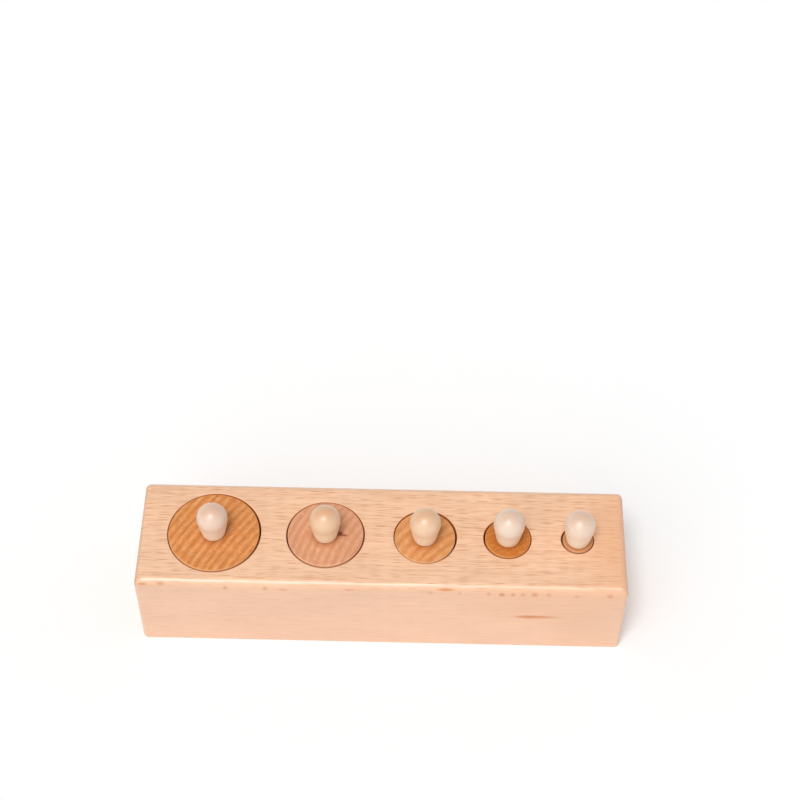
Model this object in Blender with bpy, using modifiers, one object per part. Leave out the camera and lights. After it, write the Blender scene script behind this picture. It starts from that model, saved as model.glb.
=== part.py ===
"""Knobbed cylinder block: a beech block with a row of graded round sockets. Each socket
holds a loose cylinder that lifts out by the turned ball knob glued into its top.

Metres, +Z up. The origin is the middle of the block's underside. +X runs along the row,
from the largest cylinder to the smallest, and +Y points to the back."""

import math

import bmesh
import bpy

# Cylinders, numbered from the largest
SMALLEST_DIAMETER = 0.010
DIAMETER_STEP = 0.005
CYLINDER_HEIGHT = 0.025
CYLINDER_EDGE_BREAK = 0.0004

# Walls of the block: along the row from the large end to the small end, then the long
# sides and the floor under the sockets. There is one socket between each pair of lands.
LANDS = (0.0093, 0.0084, 0.0096, 0.0088, 0.0098, 0.0106)
SIDE_WALL = 0.00465
FLOOR_THICKNESS = 0.0097
TOP_EDGE_RADIUS = 0.0028
UPRIGHT_EDGE_RADIUS = 0.0015
BOTTOM_EDGE_RADIUS = 0.0008
SOCKET_RIM_BREAK = 0.0004

# How a cylinder stands in its socket. It is loose, so it has slid to one side, and
# LEAN_ANGLES gives that side for each cylinder in degrees from +X towards +Y.
RADIAL_CLEARANCE = 0.00035
CONTACT_GAP = 0.00015
SEAT_GAP = 0.0003
LEAN_ANGLES = (150, 90, 225, 40, 45)

# Knob: a ball head, a neck that tapers straight from the ball to a rounded foot, and a tenon
# below the foot. HEAD_HEIGHT is that of the ball's middle above the foot.
HEAD_DIAMETER = 0.0102
HEAD_HEIGHT = 0.0078
FOOT_DIAMETER = 0.0078
FOOT_ROUND = 0.0006
TENON_DIAMETER = 0.0050
TENON_LENGTH = 0.0090
TENON_CHAMFER = 0.0006

# Glue line round the tenon and under the shoulder, and the spare depth of the hole
GLUE_GAP = 0.0002
MORTISE_SPARE_DEPTH = 0.0008

# Number of sides and of steps in an arc, the bend that still shades smooth, and how near the
# axis a turned point is welded to it
CYLINDER_SIDES = 48
KNOB_SIDES = 28
UPPER_HEAD_STEPS = 7
LOWER_HEAD_STEPS = 1
SMALL_ARC_STEPS = 2
BLOCK_EDGE_STEPS = 5
SMOOTH_BEND = math.radians(35)
WELD_DISTANCE = 1e-6

# Worked out from the sizes above
CYLINDER_COUNT = len(LANDS) - 1
CYLINDER_RADII = [
    (SMALLEST_DIAMETER + DIAMETER_STEP * steps) / 2 for steps in reversed(range(CYLINDER_COUNT))
]
SOCKET_RADII = [radius + RADIAL_CLEARANCE for radius in CYLINDER_RADII]
SOCKET_DEPTH = CYLINDER_HEIGHT + SEAT_GAP
BLOCK_LENGTH = sum(LANDS) + 2 * sum(SOCKET_RADII)
BLOCK_WIDTH = 2 * (SOCKET_RADII[0] + SIDE_WALL)
BLOCK_HEIGHT = FLOOR_THICKNESS + SOCKET_DEPTH
TENON_RADIUS = TENON_DIAMETER / 2
LEAN = RADIAL_CLEARANCE - CONTACT_GAP


def new_collection(name):
    collection = bpy.data.collections.new(name)
    bpy.context.scene.collection.children.link(collection)
    return collection


def wood(name, colour, roughness):
    material = bpy.data.materials.new(name)
    material.use_nodes = True
    shader = material.node_tree.nodes["Principled BSDF"]
    shader.inputs["Base Color"].default_value = (*colour, 1)
    shader.inputs["Roughness"].default_value = roughness
    shader.inputs["Metallic"].default_value = 0
    material.diffuse_color = (*colour, 1)
    return material


def arc(centre, radius, start, end, steps):
    """Points (radius, height) on an arc from one angle to another, in radians."""
    points = []
    for step in range(steps + 1):
        angle = start + (end - start) * step / steps
        points.append((centre[0] + radius * math.cos(angle), centre[1] + radius * math.sin(angle)))
    return points


def turned(name, profile, sides, collection):
    """A solid turned about Z from points (radius, height) that run down its outer side."""
    outline = bpy.data.meshes.new(name)
    points = [(radius, 0, height) for radius, height in profile]
    outline.from_pydata(points, [(i, i + 1) for i in range(len(points) - 1)], [])
    solid = bpy.data.objects.new(name, outline)
    collection.objects.link(solid)
    lathe = solid.modifiers.new("lathe", "SCREW")
    lathe.axis = "Z"
    lathe.steps = sides
    lathe.render_steps = sides
    lathe.use_merge_vertices = True
    lathe.merge_threshold = WELD_DISTANCE
    graph = bpy.context.evaluated_depsgraph_get()
    mesh = bpy.data.meshes.new_from_object(solid.evaluated_get(graph))
    solid.modifiers.clear()
    solid.data = mesh
    mesh.shade_smooth()
    mesh.set_sharp_from_angle(angle=SMOOTH_BEND)
    return solid


def socket_centres():
    """The X of each socket, walking along the row over the lands."""
    centres = []
    edge = -BLOCK_LENGTH / 2
    for land, radius in zip(LANDS, SOCKET_RADII):
        centres.append(edge + land + radius)
        edge += land + 2 * radius
    return centres


def make_socket_cutter(number, collection):
    """The space of one socket, its floor at height 0, flared at the mouth to break the rim."""
    radius = SOCKET_RADII[number]
    flare = 2 * SOCKET_RIM_BREAK
    profile = [
        (0, SOCKET_DEPTH - SOCKET_RIM_BREAK + flare),
        (radius + flare, SOCKET_DEPTH - SOCKET_RIM_BREAK + flare),
        (radius, SOCKET_DEPTH - SOCKET_RIM_BREAK),
        (radius, 0),
        (0, 0),
    ]
    cutter = turned(f"socket_cutter_{number + 1}", profile, CYLINDER_SIDES, collection)
    cutter.hide_render = True
    cutter.display_type = "WIRE"
    return cutter


def make_socket_block(material, parts, cutters):
    """A plain box with its edges rounded, most of all those of the top, and the sockets cut in."""
    shape = bmesh.new()
    bmesh.ops.create_cube(shape, size=1)
    bmesh.ops.translate(shape, verts=shape.verts, vec=(0, 0, 0.5))
    bmesh.ops.scale(shape, verts=shape.verts, vec=(BLOCK_LENGTH, BLOCK_WIDTH, BLOCK_HEIGHT))
    share = shape.edges.layers.float.new("bevel_weight_edge")
    for edge in shape.edges:
        heights = {vert.co.z for vert in edge.verts}
        if len(heights) == 2:
            radius = UPRIGHT_EDGE_RADIUS
        elif heights == {0}:
            radius = BOTTOM_EDGE_RADIUS
        else:
            radius = TOP_EDGE_RADIUS
        edge[share] = radius / TOP_EDGE_RADIUS
    mesh = bpy.data.meshes.new("socket_block")
    shape.to_mesh(mesh)
    shape.free()
    block = bpy.data.objects.new("socket_block", mesh)
    block.data.materials.append(material)
    parts.objects.link(block)

    edges = block.modifiers.new("round the edges", "BEVEL")
    edges.limit_method = "WEIGHT"
    edges.width = TOP_EDGE_RADIUS
    edges.segments = BLOCK_EDGE_STEPS

    for number, centre in enumerate(socket_centres()):
        cutter = make_socket_cutter(number, cutters)
        cutter.location = (centre, 0, FLOOR_THICKNESS)
        cut = block.modifiers.new(f"socket {number + 1}", "BOOLEAN")
        cut.operation = "DIFFERENCE"
        cut.object = cutter


def make_cylinder(number, material, parts):
    """One cylinder, standing on height 0, with the blind hole for the knob's tenon in its top."""
    radius = CYLINDER_RADII[number]
    hole = TENON_RADIUS + GLUE_GAP
    hole_floor = CYLINDER_HEIGHT + GLUE_GAP - TENON_LENGTH - MORTISE_SPARE_DEPTH
    profile = [
        (0, hole_floor),
        (hole, hole_floor),
        (hole, CYLINDER_HEIGHT),
        (radius - CYLINDER_EDGE_BREAK, CYLINDER_HEIGHT),
        (radius, CYLINDER_HEIGHT - CYLINDER_EDGE_BREAK),
        (radius, CYLINDER_EDGE_BREAK),
        (radius - CYLINDER_EDGE_BREAK, 0),
        (0, 0),
    ]
    cylinder = turned(f"cylinder_{number + 1}", profile, CYLINDER_SIDES, parts)
    cylinder.data.materials.append(material)
    lean = math.radians(LEAN_ANGLES[number])
    cylinder.location = (
        socket_centres()[number] + LEAN * math.cos(lean),
        LEAN * math.sin(lean),
        FLOOR_THICKNESS + SEAT_GAP,
    )
    return cylinder


def knob_profile():
    """Down the outer side: ball head, tapered neck, rounded foot, shoulder and tenon. The
    shoulder is at height 0, and the neck's taper touches both the ball and the foot's round."""
    head = HEAD_DIAMETER / 2
    foot = (FOOT_DIAMETER / 2 - FOOT_ROUND, FOOT_ROUND)
    drop = HEAD_HEIGHT - FOOT_ROUND
    taper = math.acos((head - FOOT_ROUND) / math.hypot(foot[0], drop)) - math.atan2(drop, foot[0])
    profile = [(0, HEAD_HEIGHT + head)]
    profile += arc((0, HEAD_HEIGHT), head, math.pi / 2, 0, UPPER_HEAD_STEPS)[1:]
    profile += arc((0, HEAD_HEIGHT), head, 0, taper, LOWER_HEAD_STEPS)[1:]
    profile += arc(foot, FOOT_ROUND, taper, -math.pi / 2, SMALL_ARC_STEPS)
    profile += [
        (TENON_RADIUS, 0),
        (TENON_RADIUS, TENON_CHAMFER - TENON_LENGTH),
        (TENON_RADIUS - TENON_CHAMFER, -TENON_LENGTH),
        (0, -TENON_LENGTH),
    ]
    return profile


def make_knob(number, cylinder, material, parts):
    """One knob, carried by its cylinder, with its shoulder a glue line above the cylinder's top."""
    knob = turned(f"knob_{number + 1}", knob_profile(), KNOB_SIDES, parts)
    knob.data.materials.append(material)
    knob.parent = cylinder
    knob.location = (0, 0, CYLINDER_HEIGHT + GLUE_GAP)


def main():
    for old in list(bpy.data.objects):
        bpy.data.objects.remove(old, do_unlink=True)
    parts = new_collection("knobbed_cylinder_block")
    cutters = new_collection("cutters")
    make_socket_block(wood("block_beech", (0.87, 0.55, 0.35), 0.38), parts, cutters)
    cylinder_wood = wood("cylinder_end_grain", (0.70, 0.30, 0.11), 0.50)
    knob_wood = wood("knob_pale_wood", (0.85, 0.70, 0.58), 0.33)
    for number in range(CYLINDER_COUNT):
        cylinder = make_cylinder(number, cylinder_wood, parts)
        make_knob(number, cylinder, knob_wood, parts)


main()
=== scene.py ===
"""The looks of the knobbed cylinder block: a beech block with a row of graded sockets, and in
each socket a loose cylinder that lifts out by its turned knob. Metres, +Z up."""

import math

import bmesh
import bpy
from mathutils import Euler, Matrix, Vector


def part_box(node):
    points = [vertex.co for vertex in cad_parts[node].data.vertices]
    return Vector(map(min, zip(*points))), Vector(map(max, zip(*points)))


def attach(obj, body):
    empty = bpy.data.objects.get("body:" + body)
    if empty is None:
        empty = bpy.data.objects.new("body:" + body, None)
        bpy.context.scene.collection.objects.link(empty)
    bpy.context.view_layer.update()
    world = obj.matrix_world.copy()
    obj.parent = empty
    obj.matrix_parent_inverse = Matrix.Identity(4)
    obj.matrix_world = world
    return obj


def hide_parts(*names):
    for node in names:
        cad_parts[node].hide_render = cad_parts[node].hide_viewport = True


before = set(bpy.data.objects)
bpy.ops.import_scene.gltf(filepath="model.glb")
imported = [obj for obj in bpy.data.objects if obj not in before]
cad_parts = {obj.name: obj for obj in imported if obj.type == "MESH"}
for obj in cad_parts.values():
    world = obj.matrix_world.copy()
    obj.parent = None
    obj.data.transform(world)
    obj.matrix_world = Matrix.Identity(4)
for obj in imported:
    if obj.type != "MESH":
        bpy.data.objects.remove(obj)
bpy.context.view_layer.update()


# Socket block. The real piece is one stick of steamed beech with the grain along it, planed
# square, with its top edges rounded over and the others eased, and five flat-bottomed sockets
# drilled down into its top. It is sanded and finished with a clear satin lacquer.

MM = 0.001
top_edge_radius = 2.8 * MM
upright_edge_radius = 1.5 * MM
bottom_edge_radius = 0.8 * MM
socket_rim_break = 0.4 * MM
socket_clearance = 0.35 * MM
socket_floor = 9.7 * MM
lands = [land * MM for land in (9.3, 8.4, 9.6, 8.8, 9.8)]
socket_sides = 128
edge_steps = 10
rim_steps = 3
sharp_bend = math.radians(40)


def round_over(shape, edges, radius, steps):
    """Rounds the edges of a bmesh to that radius."""
    bmesh.ops.bevel(
        shape, geom=edges, offset=radius, offset_type="OFFSET", affect="EDGES",
        segments=steps, profile=0.5, material=-1, clamp_overlap=True,
    )


def finished(name, shape, material, body, node):
    """Makes a piece from a bmesh. It rides on a body and stands for a node of the CAD part."""
    bmesh.ops.recalc_face_normals(shape, faces=shape.faces)
    # The order of a bmesh's faces can change from run to run, so they are sorted by their corners
    shape.verts.index_update()
    places = [vert.co for vert in shape.verts]
    faces = sorted([vert.index for vert in face.verts] for face in shape.faces)
    mesh = bpy.data.meshes.new(name)
    mesh.from_pydata(places, [], faces)
    shape.free()
    mesh.shade_smooth()
    mesh.set_sharp_from_angle(angle=sharp_bend)
    mesh.materials.append(material)
    piece = bpy.data.objects.new(name, mesh)
    bpy.context.scene.collection.objects.link(piece)
    flats = piece.modifiers.new("flat faces shade flat", "WEIGHTED_NORMAL")
    flats.keep_sharp = True
    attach(piece, body)
    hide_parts(node)
    return piece


def linear(colour):
    """An sRGB colour in hex as the linear RGBA that a shader takes."""
    channels = [int(colour[i : i + 2], 16) / 255 for i in (1, 3, 5)]
    return [c / 12.92 if c <= 0.04045 else ((c + 0.055) / 1.055) ** 2.4 for c in channels] + [1]


def add(tree, kind, sockets, **settings):
    """Adds a node with its settings. A socket takes a value, or a link from another socket."""
    node = tree.nodes.new("ShaderNode" + kind)
    for name, value in settings.items():
        setattr(node, name, value)
    for name, value in sockets.items():
        if isinstance(value, bpy.types.NodeSocket):
            tree.links.new(value, node.inputs[name])
        else:
            node.inputs[name].default_value = value
    return node


def solid_wood(name, grain, pith, ray_radius, face, quarter, end, ring_width, ring_show, ray,
               ray_size, ray_show, dash_show, streak_show, roughness, lacquer):
    """Lacquered wood cut from a trunk whose pith runs along the grain through a given point.

    Growth rings lie round the pith and rays are thin plates that reach out from it, so each
    surface shows what a saw or a lathe would lay bare: dashes where plates end in it, an even
    tone where they lie in it, and ring lines with fine spokes on end grain. A pair of colours,
    the early and the late wood of a ring, is given for the face and for end grain, and one for
    wood sawn on the quarter, where the rays lie in the surface. The lacquer is how much of it
    stands on the surface, and how rough it has dried."""
    material = bpy.data.materials.new(name)
    material.use_nodes = True
    tree = material.node_tree
    shader = tree.nodes["Principled BSDF"]
    length, thickness, reach = ray_size

    # Wood space: X along the grain, and the pith on its X axis
    turn = Euler((math.pi, -math.pi / 2, 0) if grain == "Z" else (0, 0, 0))
    shift = -(turn.to_matrix() @ Vector(pith))
    spot = add(tree, "TexCoord", {})
    place = add(tree, "Mapping", {"Vector": spot.outputs["Object"], "Location": shift,
                                  "Rotation": turn}).outputs[0]
    normal = add(tree, "Mapping", {"Vector": spot.outputs["Normal"], "Rotation": turn},
                 vector_type="VECTOR").outputs[0]

    # The trunk isn't straight, so the cross-grain place sways by about a millimetre. Along the
    # grain this sway, like the tone below, is drawn out about three times.
    sway_size = 30 * MM
    sway = 1.2 * MM
    drawn_out = (0.35, 1, 1)
    slow = add(tree, "VectorMath", {0: place, 1: drawn_out}, operation="MULTIPLY").outputs[0]
    drift = add(tree, "TexNoise", {"Vector": slow, "Scale": 1 / sway_size, "Detail": 1.0})
    bent = add(tree, "VectorMath", {0: drift.outputs["Color"], 1: (0, sway, sway), 2: place},
               operation="MULTIPLY_ADD").outputs[0]
    parts = add(tree, "SeparateXYZ", {0: bent}).outputs
    outward = add(tree, "VectorMath", {0: bent, 1: (0, 1, 1)}, operation="MULTIPLY").outputs[0]
    radius = add(tree, "VectorMath", {0: outward}, operation="LENGTH").outputs["Value"]
    angle = add(tree, "Math", {0: parts["Z"], 1: parts["Y"]}, operation="ARCTAN2").outputs[0]

    # How far the rays lie in the surface: not at all on end grain, fully on the quarter
    cross = add(tree, "VectorMath", {0: normal, 1: outward}, operation="CROSS_PRODUCT").outputs[0]
    lying = add(tree, "SeparateXYZ", {0: cross}).outputs["X"]
    lying = add(tree, "Math", {0: lying, 1: radius}, operation="DIVIDE").outputs[0]
    lying = add(tree, "Math", {0: lying}, operation="ABSOLUTE").outputs[0]

    # End grain drinks more lacquer than the face, so it is a darker pair of colours. It comes in
    # as the surface turns to face along the grain.
    end_starts = 0.45
    end_full = 0.95
    across = add(tree, "SeparateXYZ", {0: normal}).outputs["X"]
    across = add(tree, "Math", {0: across}, operation="ABSOLUTE").outputs[0]
    across = add(tree, "MapRange", {"Value": across, "From Min": end_starts, "From Max": end_full},
                 interpolation_type="SMOOTHSTEP").outputs[0]
    early, late = [
        add(tree, "Mix", {0: across, 6: linear(long_grain), 7: linear(end_grain)},
            data_type="RGBA").outputs[2]
        for long_grain, end_grain in zip(face, end)
    ]

    # Growth rings of slightly uneven width, each fading from pale early wood to darker late wood.
    # They come and go in patches, and fade where the rays lie in the surface.
    uneven_rings = 0.8
    half_ring = 0.5
    quarter_share = 0.8
    uneven = add(tree, "TexNoise", {"W": radius, "Scale": 0.25 / ring_width, "Detail": 1.0},
                 noise_dimensions="1D").outputs[0]
    rings = add(tree, "Math", {0: radius, 1: 1 / ring_width}, operation="MULTIPLY").outputs[0]
    rings = add(tree, "Math", {0: uneven, 1: uneven_rings, 2: rings},
                operation="MULTIPLY_ADD").outputs[0]
    rings = add(tree, "Math", {0: rings, 1: half_ring}, operation="PINGPONG").outputs[0]
    late_wood = add(tree, "MapRange", {"Value": rings, "From Max": half_ring},
                    interpolation_type="SMOOTHSTEP").outputs[0]
    early_wood = add(tree, "Math", {0: 1.0, 1: late_wood}, operation="SUBTRACT").outputs[0]
    shown = add(tree, "MapRange", {"Value": across, "To Min": ring_show[0],
                                   "To Max": ring_show[1]}).outputs[0]
    late_wood = add(tree, "Math", {0: late_wood, 1: shown}, operation="MULTIPLY").outputs[0]
    patchy = add(tree, "TexNoise", {"Vector": bent, "Scale": 0.8 / ring_width, "Detail": 2.0})
    patchy = add(tree, "MapRange", {"Value": patchy.outputs[0], "From Min": 0.35, "From Max": 0.6,
                                    "To Min": 0.4, "To Max": 1.15}).outputs[0]
    late_wood = add(tree, "Math", {0: late_wood, 1: patchy}, operation="MULTIPLY").outputs[0]
    colour = add(tree, "Mix", {0: late_wood, 6: early, 7: late}, data_type="RGBA").outputs[2]
    even = add(tree, "Math", {0: lying, 1: quarter_share}, operation="MULTIPLY").outputs[0]
    colour = add(tree, "Mix", {0: even, 6: colour, 7: linear(quarter)}, data_type="RGBA").outputs[2]

    # Rays, with more of a ray seen where it ends in the surface than where it lies in it
    along = add(tree, "Math", {0: parts["X"], 1: 1 / length}, operation="MULTIPLY").outputs[0]
    around = add(tree, "Math", {0: angle, 1: ray_radius / thickness},
                 operation="MULTIPLY").outputs[0]
    out = add(tree, "Math", {0: radius, 1: 1 / reach}, operation="MULTIPLY").outputs[0]
    ray_place = add(tree, "CombineXYZ", {0: along, 1: around, 2: out}).outputs[0]
    plates = add(tree, "TexVoronoi", {"Vector": ray_place, "Scale": 1.0})
    core = add(tree, "MapRange", {"Value": plates.outputs["Distance"], "From Min": 0.6,
                                  "From Max": 0.1}, interpolation_type="SMOOTHSTEP").outputs[0]
    chance = add(tree, "SeparateColor", {0: plates.outputs["Color"]}).outputs["Red"]
    chance = add(tree, "MapRange", {"Value": chance, "From Min": 0.2}).outputs[0]
    rays = add(tree, "Math", {0: core, 1: chance}, operation="MULTIPLY").outputs[0]
    seen = add(tree, "MapRange", {"Value": lying, "To Min": ray_show[0], "To Max": ray_show[1]})
    rays = add(tree, "Math", {0: rays, 1: seen.outputs[0]}, operation="MULTIPLY").outputs[0]
    colour = add(tree, "Mix", {0: rays, 6: colour, 7: linear(ray)}, data_type="RGBA").outputs[2]

    # On end grain the vessels of the early wood show as short pale dashes along the rings. Single
    # vessels are far too fine to show, so a dash stands for a row of them.
    dash_length = 2.4 * MM
    dash_width = 0.7 * MM
    arc = add(tree, "Math", {0: angle, 1: ray_radius}, operation="MULTIPLY").outputs[0]
    out = add(tree, "Math", {0: radius, 1: dash_length / dash_width},
              operation="MULTIPLY").outputs[0]
    dash_place = add(tree, "CombineXYZ", {0: parts["X"], 1: arc, 2: out}).outputs[0]
    dashes = add(tree, "TexNoise", {"Vector": dash_place, "Scale": 1 / dash_length,
                                    "Detail": 1.0}).outputs[0]
    dashes = add(tree, "MapRange", {"Value": dashes, "From Min": 0.4, "From Max": 0.65,
                                    "To Max": dash_show}).outputs[0]
    dashes = add(tree, "Math", {0: dashes, 1: across}, operation="MULTIPLY").outputs[0]
    dashes = add(tree, "Math", {0: dashes, 1: early_wood}, operation="MULTIPLY").outputs[0]
    colour = add(tree, "Mix", {0: dashes, 6: colour, 7: linear(ray)}, data_type="RGBA").outputs[2]

    # Fibres, a fine streak along the grain, and slow changes of tone. Real fibres are ten times
    # finer than these, too fine to show. They stand up a little and break the shine.
    fibre_size = 0.4 * MM
    fibre_stretch = (0.03, 1, 1)
    fibre_height = 0.02 * MM
    fibre_gloss = 0.08
    tone_size = 12 * MM
    fine = add(tree, "VectorMath", {0: bent, 1: fibre_stretch}, operation="MULTIPLY").outputs[0]
    fibres = add(tree, "TexNoise", {"Vector": fine, "Scale": 1 / fibre_size,
                                    "Detail": 2.0}).outputs[0]
    streaks = add(tree, "MapRange", {"Value": fibres, "From Min": 0.4, "From Max": 0.75,
                                     "To Max": streak_show}).outputs[0]
    smooth = add(tree, "MapRange", {"Value": lying, "To Min": 1.0, "To Max": 0.4}).outputs[0]
    streaks = add(tree, "Math", {0: streaks, 1: smooth}, operation="MULTIPLY").outputs[0]
    colour = add(tree, "Mix", {0: streaks, 6: colour, 7: linear(ray)}, data_type="RGBA").outputs[2]
    broad = add(tree, "TexNoise", {"Vector": slow, "Scale": 1 / tone_size,
                                   "Detail": 2.0}).outputs[0]
    tone = add(tree, "MapRange", {"Value": broad, "From Min": 0.3, "From Max": 0.7,
                                  "To Min": 0.96, "To Max": 1.04}).outputs[0]
    colour = add(tree, "HueSaturation", {"Value": tone, "Color": colour}).outputs[0]
    gloss = add(tree, "MapRange", {"Value": fibres, "To Min": roughness - fibre_gloss,
                                   "To Max": roughness + fibre_gloss}).outputs[0]
    relief = add(tree, "Bump", {"Height": fibres, "Strength": 0.25, "Distance": fibre_height})

    tree.links.new(colour, shader.inputs["Base Color"])
    tree.links.new(gloss, shader.inputs["Roughness"])
    tree.links.new(relief.outputs[0], shader.inputs["Normal"])
    shader.inputs["Coat Weight"].default_value = lacquer[0]
    shader.inputs["Coat Roughness"].default_value = lacquer[1]
    return material


def stain(material, amount, colour):
    """Mixes a colour into the wood by an amount that comes from a socket."""
    tree = material.node_tree
    socket = tree.nodes["Principled BSDF"].inputs["Base Color"]
    stained = add(tree, "Mix", {0: amount, 6: socket.links[0].from_socket, 7: linear(colour)},
                  data_type="RGBA").outputs[2]
    tree.links.new(stained, socket)


def grain_mark(material, place, size, colour, strength):
    """Adds a mark in the wood, a soft blot that fills half a size either way from its place."""
    tree = material.node_tree
    spot = add(tree, "TexCoord", {}).outputs["Object"]
    away = add(tree, "VectorMath", {0: spot, 1: place}, operation="SUBTRACT").outputs[0]
    away = add(tree, "VectorMath", {0: away, 1: Vector(size) / 2}, operation="DIVIDE").outputs[0]
    away = add(tree, "VectorMath", {0: away}, operation="LENGTH").outputs["Value"]
    amount = add(tree, "MapRange", {"Value": away, "From Min": 1.0, "From Max": 0.2,
                                    "To Max": strength}, interpolation_type="SMOOTHSTEP")
    stain(material, amount.outputs[0], colour)


def shade_socket_mouth(material, mouth, radius, colour, strength):
    """Browns the upper part of a socket's wall, painted shade for the narrow gap round its
    cylinder.
    Its mouth is the middle of the opening.
    """
    tree = material.node_tree
    spot = add(tree, "TexCoord", {}).outputs["Object"]
    away = add(tree, "VectorMath", {0: spot, 1: mouth}, operation="SUBTRACT").outputs[0]
    height = add(tree, "SeparateXYZ", {0: away}).outputs["Z"]
    across = add(tree, "VectorMath", {0: away, 1: (1, 1, 0)}, operation="MULTIPLY").outputs[0]
    across = add(tree, "VectorMath", {0: across}, operation="LENGTH").outputs["Value"]
    soft_edge = 0.15 * MM
    full_depth = 2 * MM
    last_depth = 7 * MM
    within = add(tree, "MapRange", {"Value": across, "From Min": radius + soft_edge,
                                    "From Max": radius, "To Max": strength}).outputs[0]
    fading = add(tree, "MapRange", {"Value": height, "From Min": -last_depth,
                                    "From Max": -full_depth},
                 interpolation_type="SMOOTHSTEP").outputs[0]
    amount = add(tree, "Math", {0: within, 1: fading}, operation="MULTIPLY").outputs[0]
    stain(material, amount, colour)


# Steamed beech, planed and sanded along the grain under satin lacquer: an even peach with short
# brown dashes on top, a smoother and darker front where the rays lie in the surface, and a soft
# shine. The front's darker quarter colour is partly the wood's tone there and partly painted shade.
block_low, block_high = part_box("socket_block")
block_beech = solid_wood(
    "steamed beech, satin lacquer", grain="X", pith=(0, 8 * MM, -95 * MM), ray_radius=130 * MM,
    # The quarter colour is partly the wood's own tone and partly painted shade on the front
    face=("#F8CAA5", "#EDB88D"), quarter="#E8B898", end=("#D99D6E", "#C4804C"),
    ring_width=2.6 * MM, ring_show=(0.25, 0.6), ray="#C07B42",
    ray_size=(5.5 * MM, 0.33 * MM, 8 * MM), ray_show=(0.95, 0.15), dash_show=0.3, streak_show=0.4,
    roughness=0.5, lacquer=(1.0, 0.32),
)

# The stick is ruddier at the small end: on the top, high on the front and low on the front
front = block_low.y / MM
ruddy_marks = [
    # middle and size in mm, colour and strength
    ((78, 0, 35), (36, 70, 40), "#E9A878", 0.5),
    ((53, front, 26), (76, 12, 34), "#EEB080", 0.3),
    ((68, front, 10), (36, 12, 40), "#D8A478", 0.25),
]
for place, size, colour, strength in ruddy_marks:
    grain_mark(block_beech, Vector(place) * MM, Vector(size) * MM, colour, strength)

# Where the round-over met gum in the grain there is a row of brown flecks under the front edge,
# and one dark gum streak runs along the front
gum_brown = "#CC7426"
gum_depth = 5 * MM
front_marks = [
    # middle X and Z, length and height in mm, and strength
    (-77.1, 33.6, 4.6, 1.7, 0.65), (-71.2, 33.8, 4.2, 1.7, 0.55), (-50.4, 32.7, 2.6, 2.6, 0.5),
    (-37.5, 32.7, 2.6, 2.6, 0.5), (-31.7, 32.3, 4.4, 2.0, 0.4), (-10.3, 33.0, 5.5, 1.6, 0.4),
    (16.0, 32.4, 2.4, 2.4, 0.3), (21.0, 33.8, 8.0, 1.5, 0.75), (25.4, 32.4, 2.4, 2.4, 0.3),
    (34.8, 32.4, 2.4, 2.6, 0.4), (39.1, 32.1, 3.0, 3.0, 0.75), (42.7, 32.2, 2.4, 2.8, 0.6),
    (45.9, 32.3, 2.4, 2.8, 0.5), (49.7, 32.4, 3.2, 3.2, 0.6), (54.2, 32.6, 2.4, 2.8, 0.4),
    (63.3, 31.9, 3.0, 2.8, 0.35), (74.0, 32.4, 3.4, 3.0, 0.5), (51.0, 18.9, 21.0, 2.8, 0.8),
    (48.0, 18.8, 9.0, 2.8, 0.7),
]
for x, z, long, high, strength in front_marks:
    grain_mark(block_beech, (x * MM, block_low.y, z * MM), (long * MM, gum_depth, high * MM),
               gum_brown, strength)

# One socket after each land. The upper wall of each is browned, painted shade for the narrow gap
# round its cylinder.
sockets = []
land_end = block_low.x
for number, land in enumerate(lands, start=1):
    low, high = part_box(f"cylinder_{number}")
    radius = (high.x - low.x) / 2 + socket_clearance
    centre = land_end + land + radius
    sockets.append((centre, radius))
    # Painted shade: the upper socket wall is browned where it shows in the gap
    shade_socket_mouth(block_beech, (centre, 0, block_high.z), radius, "#C66E1C", 0.9)
    land_end = centre + radius

# The edges are rounded by unequal amounts at once, which takes a modifier and a weight for each.
# The sockets are then sunk in the top from a ring for each rim, and their rims are eased.
block = bmesh.new()
bmesh.ops.create_cube(block, size=1)
share = block.edges.layers.float.new("bevel_weight_edge")
for edge in block.edges:
    height = sum(vert.co.z for vert in edge.verts)
    radius = upright_edge_radius
    if height > 0.5:
        radius = top_edge_radius
    elif height < -0.5:
        radius = bottom_edge_radius
    edge[share] = radius / top_edge_radius
bmesh.ops.scale(block, verts=block.verts, vec=block_high - block_low)
bmesh.ops.translate(block, verts=block.verts, vec=(block_low + block_high) / 2)
planed_mesh = bpy.data.meshes.new("planed_stick")
block.to_mesh(planed_mesh)
planed = bpy.data.objects.new("planed_stick", planed_mesh)
bpy.context.scene.collection.objects.link(planed)
rounding = planed.modifiers.new("round the edges", "BEVEL")
rounding.limit_method = "WEIGHT"
rounding.width = top_edge_radius
rounding.segments = edge_steps
graph = bpy.context.evaluated_depsgraph_get()
rounded = bpy.data.meshes.new_from_object(planed.evaluated_get(graph))
bpy.data.objects.remove(planed)
block.clear()
block.from_mesh(rounded)

top = max(block.faces, key=lambda face: face.calc_center_median().z)
top_edges = list(top.edges)
bmesh.ops.delete(block, geom=[top], context="FACES_ONLY")
for centre, radius in sockets:
    middle = Matrix.Translation((centre, 0, block_high.z))
    bmesh.ops.create_circle(block, segments=socket_sides, radius=radius, matrix=middle)
rims = [edge for edge in block.edges if edge.is_wire]
bmesh.ops.triangle_fill(block, edges=top_edges + rims, use_beauty=True, normal=(0, 0, 1))
walls = bmesh.ops.extrude_edge_only(block, edges=rims)["geom"]
feet = [part for part in walls if isinstance(part, bmesh.types.BMVert)]
bmesh.ops.translate(block, verts=feet, vec=(0, 0, socket_floor - block_high.z))
foot_edges = [part for part in walls if isinstance(part, bmesh.types.BMEdge)]
bmesh.ops.edgeloop_fill(block, edges=[edge for edge in foot_edges if edge.is_boundary])
round_over(block, rims, socket_rim_break, rim_steps)
finished("beech_block", block, block_beech, "block", "socket_block")


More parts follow.
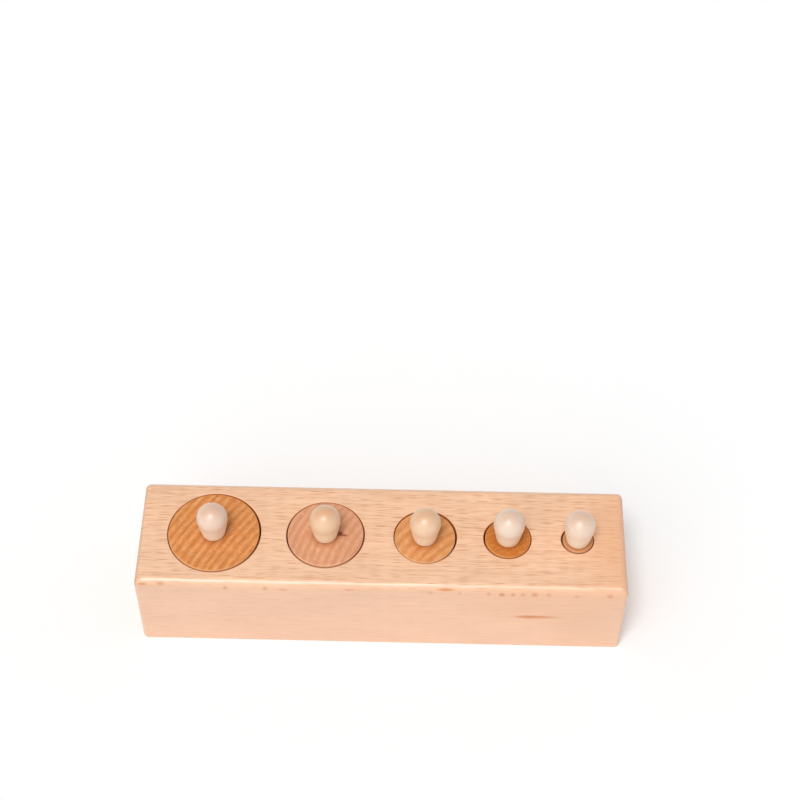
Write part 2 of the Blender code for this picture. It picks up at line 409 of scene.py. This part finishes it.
# Cylinders. Each real one is a beech dowel cut to length with the grain upright, so end grain
# shows on top. Its rims are eased, and a blind hole is drilled in the top for the knob's tenon.

cylinder_sides = 128
cylinder_edge_break = 0.4 * MM
mortise_radius = 2.7 * MM
mortise_depth = 9.6 * MM
foot_shade_width = 13.6 * MM
mark_depth = 4 * MM

# End grain drinks the lacquer, so the top is darker and duller than the side of the dowel, with
# soft ring lines and pale spokes across them. Round the knob's foot it is darkest, painted shade
# where the knob shades the top. No two dowels came from the same stick.
cylinder_woods = [
    # side, early and late end grain, rays and vessels, ring width in mm, how far rings and vessels
    # show on end grain, and the pith from the middle in mm
    ("#F0B478", "#DC8840", "#B26226", "#ECB07A", 2.55, 0.6, 0.65, (104.0, -66.0)),
    ("#F2BC92", "#DA986E", "#C27C58", "#EFBA96", 2.5, 0.5, 0.45, (52.0, -25.0)),
    ("#EFB47E", "#DC9252", "#BA7036", "#EFB684", 3.0, 0.55, 0.5, (40.0, -40.0)),
    ("#EDA862", "#C4701E", "#AE5C1C", "#DE9A58", 1.8, 0.5, 0.3, (24.0, -42.0)),
    ("#F2BE96", "#D6965E", "#C4844C", "#EDB484", 1.8, 0.4, 0.3, (25.0, -20.0)),
]

for number, woods in enumerate(cylinder_woods, start=1):
    side, early, late, vessels, ring_width, ring_show, dash_show, pith = woods
    low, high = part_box(f"cylinder_{number}")
    middle = (low + high) / 2
    radius = (high.x - low.x) / 2
    pith = Vector((*pith, 0)) * MM
    wood = solid_wood(
        f"beech dowel, satin lacquer {number}", grain="Z", pith=middle + pith,
        ray_radius=pith.length, face=(side, early), quarter=side, end=(early, late),
        ring_width=ring_width * MM, ring_show=(0.3, ring_show), ray=vessels,
        ray_size=(4.0 * MM, 0.7 * MM, 4 * MM), ray_show=(0.4, 0.2), dash_show=dash_show,
        streak_show=0.3, roughness=0.6, lacquer=(0.2, 0.4),
    )
    wood.node_tree.nodes["Principled BSDF"].inputs["Specular IOR Level"].default_value = 0.25
    foot = Vector((middle.x, middle.y, high.z))
    # Painted shade: a dark brown ring on the top round the knob's foot
    grain_mark(wood, foot, (foot_shade_width, foot_shade_width, mark_depth), "#9A4E10", 1.0)
    if number == 2:
        # A small dark knot with a short tail, beside the knob
        knot = foot + Vector((4.8, 0.2, 0)) * MM
        grain_mark(wood, knot, (2.8 * MM, 2.8 * MM, mark_depth), "#7E3404", 1.0)
        tail = knot + Vector((1.4, -0.6, 0)) * MM
        grain_mark(wood, tail, (3.2 * MM, 1.4 * MM, mark_depth), "#8E4A18", 0.85)
    cylinder = bmesh.new()
    bmesh.ops.create_cone(
        cylinder, cap_ends=True, segments=cylinder_sides, radius1=radius, radius2=radius,
        depth=high.z - low.z, matrix=Matrix.Translation(middle),
    )
    cylinder.normal_update()
    rims = [edge for edge in cylinder.edges if any(abs(f.normal.z) > 0.9 for f in edge.link_faces)]
    round_over(cylinder, rims, cylinder_edge_break, rim_steps)
    top = max(cylinder.faces, key=lambda face: face.calc_center_median().z)
    bmesh.ops.inset_region(
        cylinder, faces=[top], thickness=radius - cylinder_edge_break - mortise_radius,
        use_even_offset=True,
    )
    floor = bmesh.ops.extrude_discrete_faces(cylinder, faces=[top])["faces"][0]
    bmesh.ops.translate(cylinder, verts=list(floor.verts), vec=(0, 0, -mortise_depth))
    finished(f"end_grain_cylinder_{number}", cylinder, wood, f"insert_{number}",
             f"cylinder_{number}")


# Knobs. Each real one is turned from pale close-grained wood: a ball head on a neck that tapers
# straight to a rounded foot. A tenon below is glued into the cylinder. It has a half gloss.

head_radius = 5.1 * MM
head_height = 8.0 * MM
foot_radius = 3.9 * MM
foot_round = 0.6 * MM
tenon_radius = 2.5 * MM
tenon_length = 9.0 * MM
tenon_chamfer = 0.6 * MM
knob_sides = 96
head_steps = 40
foot_steps = 6
weld_distance = 0.001 * MM

# Hornbeam turned and burnished under lacquer: near white to cream, with hardly any grain. The
# crowns are darker, partly as end grain and partly as painted shade that tones down the light
# from above, and the necks are painted pale, painted light that lifts the shade under the heads.
painted_light_neck_middle = Vector((0, 0, 1.5 * MM))
painted_light_neck_size = (40 * MM, 40 * MM, 17 * MM)
knob_woods = [
    # head, end grain on its crown with painted shade, and the neck's painted light
    ("#E9CCB8", "#E2B69A", "#FFF5E4"),
    ("#E8C29C", "#E1A778", "#FFEFD2"),
    ("#E9C6A3", "#E4AE81", "#FFEFD4"),
    ("#EAD3C0", "#E4C0A6", "#FFF3DA"),
    ("#E9D0BC", "#E1BA9D", "#FFF4DF"),
]

for number, (head, crown_with_painted_shade, neck_painted_light) in enumerate(knob_woods, start=1):
    low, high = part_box(f"cylinder_{number}")
    foot = Vector(((low.x + high.x) / 2, (low.y + high.y) / 2, high.z))
    wood = solid_wood(
        f"turned hornbeam, half gloss {number}", grain="Z",
        pith=(foot.x + 22 * MM, foot.y + 9 * MM, 0), ray_radius=24 * MM, face=(head, crown_with_painted_shade),
        quarter=head, end=(crown_with_painted_shade, "#D9B596"), ring_width=1.4 * MM, ring_show=(0.2, 0.2),
        ray="#D9B596", ray_size=(2.0 * MM, 0.4 * MM, 3 * MM), ray_show=(0.3, 0.2), dash_show=0.0,
        streak_show=0.2, roughness=0.45, lacquer=(1.0, 0.36),
    )
    # Painted light: the neck is painted pale, which lifts the shade that the head casts on it
    grain_mark(wood, foot + painted_light_neck_middle, painted_light_neck_size, neck_painted_light, 1.0)
    head_centre = foot + Vector((0, 0, head_height))
    foot_centre = foot + Vector((foot_radius - foot_round, 0, foot_round))
    fall = foot_centre - head_centre
    # The neck is a straight line that touches the ball and the foot's round, both at this angle
    taper = math.acos((head_radius - foot_round) / fall.length) + math.atan2(fall.z, fall.x)
    outward = Vector((math.cos(taper), 0, math.sin(taper)))
    # The profile is drawn from the tip down the outer side and is then turned
    knob = bmesh.new()
    tip = knob.verts.new(head_centre + Vector((0, 0, head_radius)))
    turned = bmesh.ops.spin(knob, geom=[tip], cent=head_centre, axis=(0, 1, 0),
                            angle=math.pi / 2 - taper, steps=head_steps)["geom_last"]
    turned = bmesh.ops.extrude_vert_indiv(knob, verts=turned)["verts"]
    bmesh.ops.translate(knob, verts=turned, vec=fall - outward * (head_radius - foot_round))
    turned = bmesh.ops.spin(knob, geom=turned, cent=foot_centre, axis=(0, 1, 0),
                            angle=math.pi / 2 + taper, steps=foot_steps)["geom_last"]
    for step in (
        (tenon_radius - foot_radius + foot_round, 0, 0),
        (0, 0, tenon_chamfer - tenon_length),
        (-tenon_chamfer, 0, -tenon_chamfer),
        (tenon_chamfer - tenon_radius, 0, 0),
    ):
        turned = bmesh.ops.extrude_vert_indiv(knob, verts=turned)["verts"]
        bmesh.ops.translate(knob, verts=turned, vec=step)
    bmesh.ops.spin(knob, geom=knob.verts[:] + knob.edges[:], cent=foot, axis=(0, 0, 1),
                   angle=2 * math.pi, steps=knob_sides, use_merge=True)
    bmesh.ops.remove_doubles(knob, verts=knob.verts, dist=weld_distance)
    finished(f"pale_knob_{number}", knob, wood, f"insert_{number}", f"knob_{number}")


# Table and light: a plain white sheet, an even white surround, a soft lamp overhead that draws
# the round edges and the knobs, and a very broad one in front and to the left that fills.

sheet_width = 6.0
sheet = bmesh.new()
bmesh.ops.create_grid(sheet, x_segments=1, y_segments=1, size=sheet_width / 2)
sheet_mesh = bpy.data.meshes.new("white_sheet")
sheet.to_mesh(sheet_mesh)
sheet.free()
paper = bpy.data.materials.new("matt white paper")
paper.use_nodes = True
paper.node_tree.nodes["Principled BSDF"].inputs["Base Color"].default_value = linear("#FEFEFE")
paper.node_tree.nodes["Principled BSDF"].inputs["Roughness"].default_value = 0.9
sheet_mesh.materials.append(paper)
table = bpy.data.objects.new("white_sheet", sheet_mesh)
bpy.context.scene.collection.objects.link(table)

# The surround is pure white where it is seen or mirrored, and dimmer as a light
surround_light = 0.42
world = bpy.data.worlds.new("white surround")
bpy.context.scene.world = world
world.use_nodes = True
sky = world.node_tree.nodes["Background"]
path = add(world.node_tree, "LightPath", {}).outputs
white = add(world.node_tree, "Math", {0: path["Is Camera Ray"], 1: path["Is Glossy Ray"]},
            operation="MAXIMUM").outputs[0]
white = add(world.node_tree, "Math", {0: white, 1: path["Is Transmission Ray"]},
            operation="MAXIMUM").outputs[0]
level = add(world.node_tree, "MapRange", {"Value": white, "To Min": surround_light}).outputs[0]
sky.inputs["Color"].default_value = (1, 1, 1, 1)
world.node_tree.links.new(level, sky.inputs["Strength"])

lamps = [
    # name, elevation and azimuth from the front in degrees, width in degrees, strength
    ("top_lamp", 66, -20, 22, 1.6),
    ("front_lamp", 40, -32, 50, 0.6),
]
for name, elevation, azimuth, width, strength in lamps:
    lamp_data = bpy.data.lights.new(name, "SUN")
    lamp_data.angle = math.radians(width)
    lamp_data.energy = strength
    lamp = bpy.data.objects.new(name, lamp_data)
    lamp.matrix_world = (
        Matrix.Rotation(math.radians(azimuth), 4, "Z")
        @ Matrix.Rotation(math.radians(90 - elevation), 4, "X")
        @ Matrix.Translation((0, 0, 1))
    )
    bpy.context.scene.collection.objects.link(lamp)


# Camera, at the photograph's viewing angle: a long lens that looks down on the front.

camera_place = (0.0080, -0.3258, 0.5290)
camera_yaw = math.radians(0.508)
camera_tilt = math.radians(37.740)
camera_roll = math.radians(0.801)
camera_data = bpy.data.cameras.new("camera")
camera_data.sensor_width = 36
camera_data.lens = 80.8
camera = bpy.data.objects.new("camera", camera_data)
camera.matrix_world = (
    Matrix.Translation(camera_place)
    @ Matrix.Rotation(camera_yaw, 4, "Z")
    @ Matrix.Rotation(camera_tilt, 4, "X")
    @ Matrix.Rotation(camera_roll, 4, "Z")
)
bpy.context.scene.collection.objects.link(camera)
bpy.context.scene.camera = camera
bpy.context.scene.view_settings.view_transform = "Standard"
